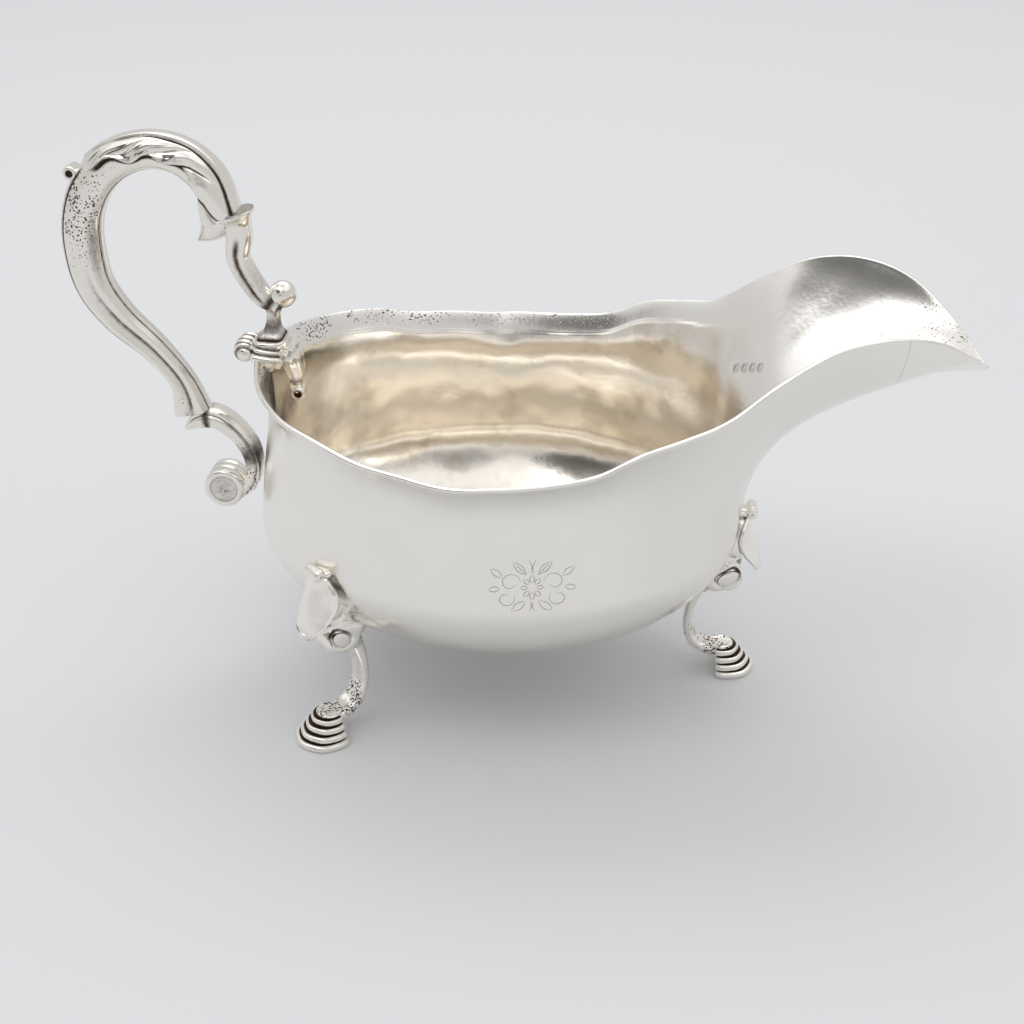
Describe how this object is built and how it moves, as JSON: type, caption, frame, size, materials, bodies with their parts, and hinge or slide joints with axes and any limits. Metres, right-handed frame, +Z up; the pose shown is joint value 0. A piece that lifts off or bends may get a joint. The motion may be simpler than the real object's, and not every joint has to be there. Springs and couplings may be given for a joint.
{
  "type": "sauce boat",
  "caption": "Raised oval sauce boat with a shaped rim, a broad drooping lip, a flying scroll handle capped by a leaf, and hoof feet under shield-shaped knees.",
  "frame": {"origin": "on the table, under the middle of the overall length and width", "axes": "+X towards the point of the lip, +Y across the boat, +Z up"},
  "size_m": [0.206, 0.0972, 0.1311],
  "materials": {
    "raised_silver": "polished sterling silver sheet, finely scratched, pale gilt tone inside the bowl",
    "handle_silver": "polished cast sterling silver with dark tarnish in the grooves and pitted patches",
    "foot_silver": "polished cast sterling silver with dark tarnish between the hoof's layers and a pitted shank"
  },
  "bodies": {
    "root": {"bowl": "raised_silver", "spout_lip": "raised_silver", "main_scroll_near_half": "handle_silver", "main_scroll_far_half": "handle_silver", "leaf_cap": "handle_silver", "thumb_bead": "handle_silver", "upper_scroll": "handle_silver", "ball": "handle_silver", "stem": "handle_silver", "plinth": "handle_silver", "rim_drop": "handle_silver", "lower_scroll": "handle_silver", "volute_roll": "handle_silver", "front_knee": "foot_silver", "front_lappet": "foot_silver", "front_eyes": "foot_silver", "front_shank": "foot_silver", "front_hoof": "foot_silver", "near_knee": "foot_silver", "near_lappet": "foot_silver", "near_eyes": "foot_silver", "near_shank": "foot_silver", "near_hoof": "foot_silver", "far_knee": "foot_silver", "far_lappet": "foot_silver", "far_eyes": "foot_silver", "far_shank": "foot_silver", "far_hoof": "foot_silver"}
  },
  "joints": []
}
